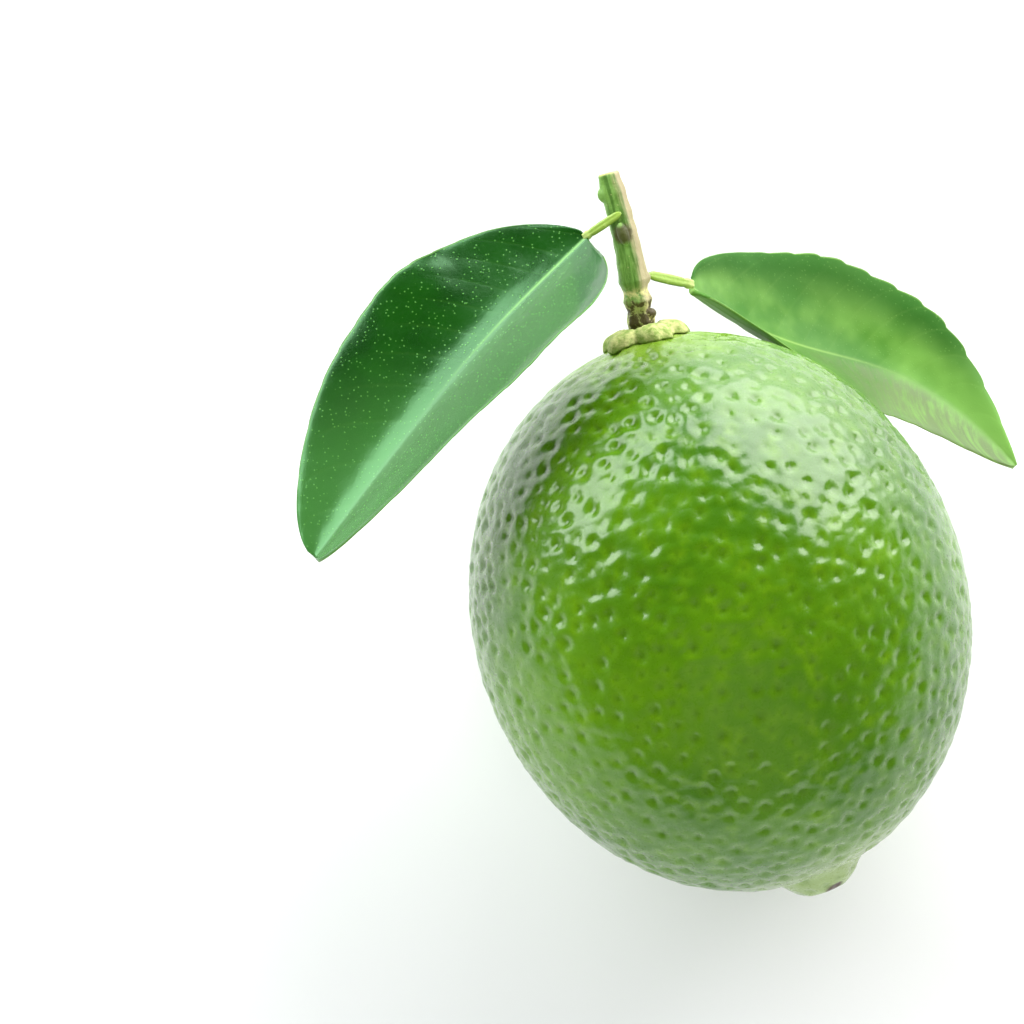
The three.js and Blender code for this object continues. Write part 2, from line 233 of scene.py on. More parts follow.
class Finish(Nodes):
    """A material on the Principled shader, built in its own node tree."""

    def __init__(self, name: str, constants: dict) -> None:
        """Start an empty material.

        Args:
            name: The material's name.
            constants: Values of the shader's own sockets that are the same all over.
        """
        self.material = bpy.data.materials.new(name)
        self.material.use_nodes = True
        super().__init__(self.material.node_tree)
        self.shader = self.tree.nodes["Principled BSDF"]
        for socket, value in constants.items():
            self.shader.inputs[socket].default_value = value

    def place(self) -> Value:
        """Object coordinates in millimetres."""
        coordinates = self.add("ShaderNodeTexCoord", {}, {}, "Object")
        return self.vector("SCALE", coordinates, 1 / MM)

    def attribute(self, name: str) -> Value:
        """A vector that the mesh carries."""
        return self.add("ShaderNodeAttribute", {"attribute_name": name}, {}, "Vector")

    def noise(self, place: Value, grain: float, detail: float = 3.0, roughness: float = 0.55) -> Value:
        """Cloudy noise.

        Args:
            place: The place, in millimetres.
            grain: The size of its clouds, in millimetres.
            detail: How many finer layers it has.
            roughness: How strong the finer layers are.

        Returns:
            A value round 0.5.
        """
        inputs = {"Vector": place, "Scale": 1 / grain, "Detail": detail, "Roughness": roughness}
        return self.add("ShaderNodeTexNoise", {}, inputs)

    def cells(self, place: Value, pitch: float, feature: str = "F1") -> Value:
        """Distance to the nearest of scattered points, or to the edge between their cells."""
        inputs = {"Vector": place, "Scale": 1 / pitch}
        return self.add("ShaderNodeTexVoronoi", {"feature": feature}, inputs, "Distance")

    def mix(self, share: Number, first: Union[Colour, Value], second: Union[Colour, Value]) -> Value:
        """Blend two colours.

        Args:
            share: 0 for the first colour, 1 for the second.
            first: A colour or a wrapped colour.
            second: A colour or a wrapped colour.

        Returns:
            The blended colour.
        """
        colours = [c if isinstance(c, Value) else (*c, 1.0) for c in (first, second)]
        inputs = {0: share, 6: colours[0], 7: colours[1]}
        return self.add("ShaderNodeMix", {"data_type": "RGBA"}, inputs, 2)

    def layers(self, tone: Value, *coats: tuple[Value, Colour]) -> Value:
        """Lay colours over a tone, one after the other.

        Args:
            tone: The colour below.
            coats: The share and the colour of each coat.

        Returns:
            The colour that is seen.
        """
        for share, colour in coats:
            tone = self.mix(share, tone, colour)
        return tone

    def bump(self, height: Value, depth: float) -> None:
        """Feed a height to the shader's normal.

        Args:
            height: The height, from 0 to 1.
            depth: The millimetres that a height of 1 stands for.
        """
        inputs = {"Strength": 1.0, "Distance": depth * MM, "Height": height}
        self.feed("Normal", self.add("ShaderNodeBump", {}, inputs))

    def feed(self, socket: str, value: Value) -> None:
        """Link a value to one of the shader's sockets."""
        self.tree.links.new(value.socket, self.shader.inputs[socket])


def srgb(red: int, green: int, blue: int) -> Colour:
    """A colour as the eye reads it, from 0 to 255, as the linear colour that shaders use."""
    return tuple(((c / 255 + 0.055) / 1.055) ** 2.4 if c > 10 else c / 3294.6 for c in (red, green, blue))


def unit(vectors: np.ndarray) -> np.ndarray:
    """Vectors of length 1."""
    return vectors / np.linalg.norm(vectors, axis=-1, keepdims=True)


def smoothstep(value: np.ndarray, start: float, end: float) -> np.ndarray:
    """Rise smoothly from 0 at start to 1 at end."""
    share = np.clip((value - start) / (end - start), 0, 1)
    return share * share * (3 - 2 * share)


def bell(value: np.ndarray, width: float) -> np.ndarray:
    """A round hump of height 1 at 0."""
    return np.exp(-((value / width) ** 2))


def make_mesh(name: str, vertices: np.ndarray, faces: np.ndarray) -> bpy.types.Object:
    """Write a smooth mesh object at the origin.

    Args:
        name: The object's name.
        vertices: Places in millimetres.
        faces: Rows of vertex numbers.

    Returns:
        The new object.
    """
    mesh = bpy.data.meshes.new(name)
    mesh.from_pydata((vertices * MM).tolist(), [], [list(dict.fromkeys(face)) for face in faces.tolist()])
    mesh.validate()
    mesh.shade_smooth()
    piece = bpy.data.objects.new(name, mesh)
    bpy.context.scene.collection.objects.link(piece)
    return piece


def carry(piece: bpy.types.Object, name: str, vectors: np.ndarray) -> None:
    """Give a mesh one vector for each of its points, under a name."""
    layer = piece.data.attributes.new(name, "FLOAT_VECTOR", "POINT")
    layer.data.foreach_set("vector", np.ascontiguousarray(vectors, dtype=np.float32).ravel())


def settle(piece: bpy.types.Object, modifier: bpy.types.Modifier) -> bpy.types.Mesh:
    """Turn a piece with a modifier into the plain mesh that it gives.

    Args:
        piece: The object.
        modifier: Its one modifier, which is taken away.

    Returns:
        The object's new mesh.
    """
    evaluated = piece.evaluated_get(bpy.context.evaluated_depsgraph_get())
    mesh = bpy.data.meshes.new_from_object(evaluated)
    piece.modifiers.remove(modifier)
    piece.data = mesh
    mesh.shade_smooth()
    return mesh


def grid_faces(
    rows: int, columns: int, start: int = 0, around: bool = False, flip: bool = False
) -> np.ndarray:
    """Quads of a grid of points.

    Args:
        rows: Rows of points.
        columns: Points in a row.
        start: Number of the grid's first point.
        around: Whether each row closes on itself.
        flip: Whether the faces look the other way.

    Returns:
        Rows of four point numbers.
    """
    row = np.arange(rows - 1)[:, None] * columns + start
    column = np.arange(columns if around else columns - 1)[None]
    after = (column + 1) % columns
    corners = [row + column, row + after, row + columns + after, row + columns + column]
    quads = np.stack(corners, -1).reshape(-1, 4)
    return quads[:, ::-1] if flip else quads


def tube(rings: np.ndarray) -> tuple[np.ndarray, np.ndarray]:
    """A closed body through rings of points that turn right-handed about the way they travel.

    Args:
        rings: Places, as rings by sides by 3.

    Returns:
        The vertices and the faces.
    """
    count, sides = rings.shape[:2]
    middles = np.stack([rings[0].mean(0), rings[-1].mean(0)])
    vertices = np.concatenate([rings.reshape(-1, 3), middles])
    side = np.arange(sides)
    after = (side + 1) % sides
    start = np.stack([np.full(sides, count * sides), after, side, side], -1)
    last = (count - 1) * sides
    end = np.stack([np.full(sides, count * sides + 1), last + side, last + after, last + after], -1)
    return vertices, np.concatenate([grid_faces(count, sides, around=True), start, end])


def ripple(places: np.ndarray, grain: float, seed: int) -> np.ndarray:
    """Soft seeded waves in space, between about -1 and 1.

    Args:
        places: Places in millimetres.
        grain: Length of the waves.
        seed: Seed of their directions.

    Returns:
        One number for each place.
    """
    draw = np.random.default_rng(seed)
    waves = 9
    directions = unit(draw.normal(size=(waves, 3))) * draw.uniform(0.7, 1.5, (waves, 1))
    phases = draw.uniform(0, 2 * math.pi, waves)
    return np.sin(places @ directions.T * (2 * math.pi / grain) + phases).sum(-1) / math.sqrt(waves * 2)


@dataclass(frozen=True)
class RindFinish:
    """Waxy green rind with fine pits, pale round the stalk and brown at the scar."""

    deep: Colour = srgb(54, 102, 1)
    middle: Colour = srgb(88, 136, 1)
    bright: Colour = srgb(124, 168, 8)
    pale: Colour = srgb(154, 186, 66)
    nipple_pale: Colour = srgb(168, 186, 128)
    pit: Colour = srgb(44, 92, 2)
    scar: Colour = srgb(62, 38, 20)
    roughness: float = 0.23
    coat: float = 0.4
    pale_reach: tuple = (15.0, 4.0)
    nipple_pale_reach: tuple = (15.0, 1.0)
    scar_reach: tuple = (1.25, 0.65)
    cloud_size: float = 26.0
    mottle_size: float = 2.6
    fine_size: float = 0.55
    pebble_size: float = 1.6
    relief: float = 0.06

    def material(self, scar_at: tuple, stalk_at: tuple) -> bpy.types.Material:
        """Build the rind.

        Args:
            scar_at: Place of the brown scar, in millimetres.
            stalk_at: Place where the stalk leaves the skin, in millimetres.

        Returns:
            The material.
        """
        constants = {"IOR": 1.45, "Coat Weight": self.coat, "Coat Roughness": 0.1, "Coat IOR": 1.5}
        finish = Finish("lime_rind", constants)
        place = finish.place()
        clouds = finish.noise(place, self.cloud_size, 2.0)
        mottle = finish.noise(place, self.mottle_size, 4.0)
        fine = finish.noise(place, self.fine_size, 2.0)
        pebble = finish.cells(place, self.pebble_size).smooth(0.75, 0.0)
        from_stalk = finish.length(finish.vector("SUBTRACT", place, stalk_at))
        from_scar = finish.length(finish.vector("SUBTRACT", place, scar_at))
        core, bowl, _ = finish.parts(finish.attribute("pit"))
        scarred = (from_scar + (mottle - 0.5) * 1.1).smooth(*self.scar_reach)
        tone = finish.layers(
            finish.mix(clouds.smooth(0.3, 0.7), self.deep, self.middle),
            (mottle.smooth(0.5, 0.8) * 0.35, self.bright),
            (bowl * 0.22, self.bright),
            (from_stalk.smooth(*self.pale_reach) * 0.4, self.pale),
            # paler round the nipple
            (from_scar.smooth(*self.nipple_pale_reach) * 0.65, self.nipple_pale),
            # the darker pit cores are partly the glands' own deeper green, partly painted shade in the pits
            (core * 0.45, self.pit),
            (scarred, self.scar),
        )
        finish.feed("Base Color", tone)
        finish.feed("Roughness", self.roughness + fine * 0.1 + scarred * 0.4)
        finish.bump(fine * 0.3 + mottle * 0.7 + pebble * 1.1, self.relief)
        return finish.material


@dataclass(frozen=True)
class CalyxFinish:
    """Dry pale calyx, brown towards the stalk and in fine flecks."""

    pale: Colour = srgb(196, 198, 128)
    green: Colour = srgb(128, 154, 62)
    brown: Colour = srgb(74, 62, 26)
    grain_size: float = 0.9
    fibre_size: float = 0.25
    relief: float = 0.25

    def material(self) -> bpy.types.Material:
        """Build the calyx finish.

        Returns:
            The material.
        """
        finish = Finish("dry_calyx", {"Roughness": 0.75})
        place = finish.place()
        reach, _, _ = finish.parts(finish.attribute("star"))
        grain = finish.noise(place, self.grain_size, 4.0, 0.65)
        fibre = finish.noise(place, self.fibre_size, 2.0)
        tone = finish.layers(
            finish.mix(grain.smooth(0.35, 0.65), self.green, self.pale),
            ((reach + grain * 0.3).smooth(0.75, 0.5) * 0.8, self.brown),
            (fibre.smooth(0.6, 0.8) * 0.6, self.brown),
        )
        finish.feed("Base Color", tone)
        finish.bump(grain * 0.7 + fibre * 0.3, self.relief)
        return finish.material


@dataclass(frozen=True)
class BarkFinish:
    """Young citrus bark: green stripes, a paler tan side that is painted light, dark knobs and a pale cut
    end.
    """

    green: Colour = srgb(122, 166, 72)
    dark_green: Colour = srgb(76, 118, 36)
    tan: Colour = srgb(176, 158, 124)
    cream: Colour = srgb(204, 200, 128)
    brown: Colour = srgb(60, 46, 8)
    grain_size: float = 0.5
    patch_size: float = 1.1
    wart_pitch: float = 0.7
    bud_reach: tuple = (1.4, 0.8)
    tear_offset: float = 0.6
    tear_width: float = 0.55
    relief: float = 0.22

    def material(self, length: float, knobs_end: float, bud_at: tuple) -> bpy.types.Material:
        """Build the bark.

        Args:
            length: Length of the twig, in millimetres.
            knobs_end: Length of the knobbed stretch at the fruit, in millimetres.
            bud_at: Place of the dark side bud, in millimetres.

        Returns:
            The material.
        """
        finish = Finish("green_bark", {"Roughness": 0.62})
        place = finish.place()
        along, across, over = finish.parts(finish.attribute("bark"))
        stretched = {0: along * 0.22, 1: across * 3.0, 2: over * 3.0}
        streak = finish.noise(finish.add("ShaderNodeCombineXYZ", {}, stretched), 1.0, 4.0, 0.6)
        grain = finish.noise(place, self.grain_size, 3.0)
        patches = finish.noise(place, self.patch_size, 3.0, 0.7)
        # painted light: the side of the twig towards the lamps is laid in a paler tan, broken up by bark
        # streaks
        lit_side_tan = (across * 0.85 + over * 0.25 + (streak - 0.5) * 1.3).smooth(-0.25, 0.35)
        wart = finish.cells(place, self.wart_pitch).smooth(0.16, 0.07) * 0.35
        from_bud = finish.length(finish.vector("SUBTRACT", place, bud_at)) + (grain - 0.5) * 0.6
        knob = (along + (grain - 0.5) * 1.6).smooth(knobs_end, knobs_end - 0.6)
        torn = (along - knobs_end - self.tear_offset).bell(self.tear_width)
        tone = finish.layers(
            finish.mix(streak.smooth(0.35, 0.65), self.dark_green, self.green),
            (lit_side_tan * 0.85, self.tan),
            (wart, self.cream),
            (from_bud.smooth(*self.bud_reach) * 0.85, self.brown),
            (knob * 0.6, self.cream),
            (knob * patches.smooth(0.6, 0.5) * 0.92, self.brown),
            (torn * grain.smooth(0.35, 0.6), self.cream),
            (along.smooth(length - 0.25, length - 0.05) * 0.7, self.cream),
        )
        finish.feed("Base Color", tone)
        finish.bump(streak * 0.6 + grain * 0.5 + wart * 0.3, self.relief)
        return finish.material


@dataclass(frozen=True)
class PetioleFinish:
    """Smooth yellow-green leaf stalk with painted shade on its underside and edges, paler at its joint with
    the blade.
    """

    body: Colour = srgb(148, 180, 70)
    pale: Colour = srgb(190, 208, 120)
    # painted shade for the underside and the edges
    shade: Colour = srgb(70, 104, 26)
    grain_size: float = 0.6
    relief: float = 0.08

    def material(self) -> bpy.types.Material:
        """Build the petiole finish.

        Returns:
            The material.
        """
        finish = Finish("petiole_green", {"Roughness": 0.45, "Coat Weight": 0.1})
        along, _, over = finish.parts(finish.attribute("stalk"))
        grain = finish.noise(finish.place(), self.grain_size, 3.0)
        tone = finish.layers(
            # painted shade: the underside and the edges take the darker shade colour
            finish.mix(over.smooth(-0.1, 0.75), self.shade, self.body),
            (along.smooth(0.75, 0.95) * 0.8, self.pale),
            (grain.smooth(0.55, 0.75) * 0.4, self.pale),
        )
        finish.feed("Base Color", tone)
        finish.bump(grain, self.relief)
        return finish.material


@dataclass(frozen=True)
class BladeFinish:
    """One face of a citrus leaf: veins, midrib, pale margin and translucent oil dots.

    One half may carry a painted reflection: side is 1 for the left half and -1 for the right one. That
    painted reflection, a paler tone, sets in at its start, counted in veins. Painted shade lies along the
    edge of the other half, and a painted sheen lightens the tip.
    """

    name: str
    body: Colour
    bright: Colour
    rib: Colour
    dots: Colour
    roughness: float = 0.55
    gloss: float = 1.4
    sheen: Colour = (1.0, 1.0, 1.0)
    vein_strength: float = 0.5
    dot_strength: float = 0.3
    bump_depth: float = 0.08
    side: float = 1.0
    # painted reflection: one half is laid over with a paler tone for the bright surface that it mirrors
    painted_reflection_tone: Colour = srgb(60, 110, 50)
    painted_reflection_strength: float = 0.0
    painted_reflection_streaks: float = 0.0
    painted_reflection_start: float = 1.0
    # painted shade along the margin of the other half
    margin_painted_shade: Colour = srgb(20, 80, 10)
    margin_painted_shade_strength: float = 0.0
    # painted sheen: a lighter tone towards the tip stands in for the sheen there
    tip_painted_sheen: Colour = srgb(60, 110, 50)
    tip_painted_sheen_strength: float = 0.0
    rib_width: float = 0.17
    edge_strength: float = 0.35
    cloud_size: float = 9.0
    fine_size: float = 0.4
    net_pitch: float = 1.25
    dot_pitch: float = 0.52

    def material(self) -> bpy.types.Material:
        """Build this face's material.

        Returns:
            The material.
        """
        finish = Finish(self.name, {"IOR": self.gloss, "Specular Tint": (*self.sheen, 1.0)})
        place = finish.place()
        order, across, share = finish.parts(finish.attribute("blade"))
        clouds = finish.noise(place, self.cloud_size, 3.0)
        fine = finish.noise(place, self.fine_size, 3.0)
        beside = abs(across)
        line = abs((order + (fine - 0.5) * 0.05).fraction() - 0.5) * 2.0
        vein = line.smooth(0.16, 0.02) * beside.smooth(10.5, 6.0)
        net = finish.cells(place, self.net_pitch, "DISTANCE_TO_EDGE").smooth(0.06, 0.01)
        dot = finish.cells(place, self.dot_pitch).smooth(0.24, 0.1)
        along_vein = finish.add("ShaderNodeCombineXYZ", {}, {0: order * 5.0, 1: across * 0.35})
        fibre = finish.noise(along_vein, 1.0, 3.0, 0.7)

        # painted reflection of the pale surface on one half, broken into streaks
        streaked = fibre.smooth(0.3, 0.6) * self.painted_reflection_streaks + (1.0 - self.painted_reflection_streaks)
        painted_reflection = (across * self.side).smooth(-0.8, 1.4) * self.painted_reflection_strength
        # painted shade: the margin of the other half is darkened where its sheen falls off
        rim = share.smooth(0.35, 0.85) * self.margin_painted_shade_strength * clouds.smooth(0.1, 0.5)
        rim = rim * order.smooth(9.5, 6.5) * (across * -self.side).smooth(-0.5, 0.5)
        tone = finish.layers(
            finish.mix(clouds.smooth(0.35, 0.68), self.body, self.bright),
            # painted sheen: lighter towards the tip
            (order.smooth(6.0, 10.5) * self.tip_painted_sheen_strength, self.tip_painted_sheen),
            (painted_reflection * streaked * order.smooth(0.5, self.painted_reflection_start), self.painted_reflection_tone),
            (rim, self.margin_painted_shade),
            (net * 0.12 * self.vein_strength, self.rib),
            (dot * self.dot_strength, self.dots),
            (vein * 0.45 * self.vein_strength, self.rib),
            (beside.bell(self.rib_width) * order.smooth(9.0, 1.0) * 0.75, self.rib),
            (share.smooth(0.975, 0.99) * self.edge_strength, self.rib),
        )
        finish.feed("Base Color", tone)
        finish.feed("Roughness", self.roughness + (fine - 0.5) * 0.12 + rim * 0.35)
        relief = fine * 0.15 + dot * 0.15 + clouds * 0.5
        finish.bump(relief - (net * 0.4 + vein) * self.vein_strength, self.bump_depth)
        return finish.material


@dataclass(frozen=True)
class StageFinish:
    """Plain pale surface."""

    tone: Colour = (0.86, 0.86, 0.86)
    shade: float = 0.985
    cloud_size: float = 60.0

    def material(self) -> bpy.types.Material:
        """Build the surface's finish.

        Returns:
            The material.
        """
        finish = Finish("pale_surface", {"Roughness": 0.7})
        cloud = finish.noise(finish.place(), self.cloud_size, 2.0)
        finish.feed("Base Color", finish.mix(cloud, self.tone, tuple(c * self.shade for c in self.tone)))
        return finish.material


@dataclass
class PitTree:
    """Geometry nodes that scatter pits over a skin and press them in.

    Near the stalk the pits lie closer and run long. Each calm says where the pits regain their full depth, as
    two distances from that end, and which share of it they lose there.
    """

    pitch: float = 1.95
    end_pitch: float = 1.45
    bowl_radius: float = 1.5
    bowl_depth: float = 0.1
    core_radius: float = 0.45
    core_depth: float = 0.21
    density: float = 3.0
    sizes: tuple = (0.55, 1.3)
    crowd_reach: tuple = (14.0, 6.0)
    crowd_stretch: float = -0.45
    rest_reach: tuple = (0.1, 1.0)
    nipple_calm: tuple = (2.0, 6.5, 0.3)
    stalk_calm: tuple = (4.0, 9.0, 0.6)
    seed: int = 11
    stalk_at: tuple = (0.0, 0.0, 0.0)
    stalk_reach: float = 10.5
    nipple_at: tuple = (0.0, 0.0, 0.0)
    nipple_reach: float = 4.6

    def inputs(self) -> dict[str, Number]:
        """The tree's named inputs, in metres, with what each is set to.

        Returns:
            The values by name.
        """
        sizes = ("pitch", "end_pitch", "bowl_radius", "bowl_depth", "core_radius", "core_depth")
        lengths = {name.replace("_", " ").title(): getattr(self, name) * MM for name in sizes}
        return {**lengths, "Seed": self.seed}

    def scatter(self, nodes: Nodes, mesh: Value, near: Value, pitch: Value, seed: Value) -> Value:
        """Scatter points over part of the skin.

        Args:
            nodes: The tree's helper.
            mesh: The skin.
            near: Where the points may lie.
            pitch: Least distance between them.
            seed: Seed of the draw.

        Returns:
            The points.
        """
        inputs = {"Mesh": mesh, "Selection": near, "Distance Min": pitch, "Seed": seed}
        inputs["Density Max"] = self.density / (pitch * pitch)
        return nodes.add("GeometryNodeDistributePointsOnFaces", {"distribute_method": "POISSON"}, inputs)

    def ramp(self, distance: Value, start: float, end: float, share: float = 1.0) -> Value:
        """Rise to 1 over a stretch.

        Args:
            distance: A length in metres.
            start: Where the rise starts, in millimetres.
            end: Where it ends, in millimetres.
            share: How much it rises.

        Returns:
            A value of at most 1.
        """
        rise = distance.smooth(start * MM, end * MM)
        return rise * share + (1.0 - share)

    def build(self) -> bpy.types.NodeTree:
        """Build the tree.

        Returns:
            The node group.
        """
        tree = bpy.data.node_groups.new("skin_pits", "GeometryNodeTree")
        tree.interface.new_socket("Geometry", in_out="INPUT", socket_type="NodeSocketGeometry")
        for name, value in self.inputs().items():
            kind = "NodeSocketInt" if isinstance(value, int) else "NodeSocketFloat"
            tree.interface.new_socket(name, in_out="INPUT", socket_type=kind)
        tree.interface.new_socket("Material", in_out="INPUT", socket_type="NodeSocketMaterial")
        tree.interface.new_socket("Geometry", in_out="OUTPUT", socket_type="NodeSocketGeometry")
        nodes = Nodes(tree)
        mesh = nodes.add("NodeGroupInput", {}, {})
        given = {name: nodes.also(mesh, name) for name in [*self.inputs(), "Material"]}
        position = nodes.add("GeometryNodeInputPosition", {}, {})
        normal = nodes.add("GeometryNodeInputNormal", {}, {})

        stalk, nipple = (tuple(c * MM for c in place) for place in (self.stalk_at, self.nipple_at))
        from_stalk = nodes.length(nodes.vector("SUBTRACT", position, stalk))
        from_nipple = nodes.length(nodes.vector("SUBTRACT", position, nipple))
        near_end = from_stalk.math("LESS_THAN", self.stalk_reach * MM)
        near_end = near_end.most(from_nipple.math("LESS_THAN", self.nipple_reach * MM))
        ends = self.scatter(nodes, mesh, near_end, given["End Pitch"], given["Seed"])
        belly = self.scatter(nodes, mesh, 1.0 - near_end, given["Pitch"], given["Seed"])
        joiner = nodes.add("GeometryNodeJoinGeometry", {}, {0: ends})
        tree.links.new(belly.socket, joiner.socket.node.inputs[0])
        draw = {2: self.sizes[0], 3: self.sizes[1], "Seed": given["Seed"]}
        sized = nodes.add("FunctionNodeRandomValue", {"data_type": "FLOAT"}, draw, 1)
        store = {"Geometry": joiner, "Name": "pit_size", "Value": sized}
        settings = {"data_type": "FLOAT", "domain": "POINT"}
        pits = nodes.add("GeometryNodeStoreNamedAttribute", settings, store)

        nearest = nodes.add("GeometryNodeSampleNearest", {"domain": "POINT"}, {"Geometry": pits})
        size = nodes.add("GeometryNodeInputNamedAttribute", {"data_type": "FLOAT"}, {"Name": "pit_size"})
        own_size, pit_at = (
            nodes.add(
                "GeometryNodeSampleIndex",
                {"data_type": kind, "domain": "POINT"},
                {"Geometry": pits, "Value": value, "Index": nearest},
            )
            for kind, value in (("FLOAT", size), ("FLOAT_VECTOR", position))
        )
        from_pit = nodes.vector("SUBTRACT", position, pit_at)
        outward = nodes.vector("NORMALIZE", nodes.vector("SUBTRACT", position, stalk))
        crowd = self.ramp(from_stalk, *self.crowd_reach)
        slide = nodes.vector("DOT_PRODUCT", from_pit, outward, output="Value") * crowd * self.crowd_stretch
        from_pit = nodes.vector("ADD", from_pit, nodes.vector("SCALE", outward, slide))
        distance = nodes.length(from_pit)

        core = distance.bell(given["Core Radius"] * own_size)
        bowl = 1.0 - distance.smooth(0.0, given["Bowl Radius"])
        _, _, height = nodes.parts(position)
        rests = self.ramp(height, *self.rest_reach)
        calm = self.ramp(from_nipple, *self.nipple_calm) * self.ramp(from_stalk, *self.stalk_calm)
        press = core * given["Core Depth"] + bowl * given["Bowl Depth"]
        moved = nodes.vector("SCALE", normal, -(press * own_size * rests * calm))
        tones = nodes.add("ShaderNodeCombineXYZ", {}, {0: core * calm, 1: bowl, 2: own_size})
        store = {"Geometry": mesh, "Name": "pit", "Value": tones}
        settings = {"data_type": "FLOAT_VECTOR", "domain": "POINT"}
        kept = nodes.add("GeometryNodeStoreNamedAttribute", settings, store)
        pressed = nodes.add("GeometryNodeSetPosition", {}, {"Geometry": kept, "Offset": moved})
        whole = nodes.add("GeometryNodeRealizeInstances", {}, {"Geometry": pressed})
        dressed = nodes.add("GeometryNodeSetMaterial", {}, {"Geometry": whole, "Material": given["Material"]})
        nodes.add("NodeGroupOutput", {}, {"Geometry": dressed})
        return tree

    def press(self, piece: bpy.types.Object, material: bpy.types.Material) -> None:
        """Press the pits into a piece, which stays a plain mesh.

        Args:
            piece: The smooth skin.
            material: Its finish.
        """
        tree = self.build()
        modifier = piece.modifiers.new("pits", "NODES")
        modifier.node_group = tree
        values = {**self.inputs(), "Material": material}
        for item in tree.interface.items_tree:
            if item.in_out == "INPUT" and item.name in values:
                modifier[item.identifier] = values[item.name]
        settle(piece, modifier)


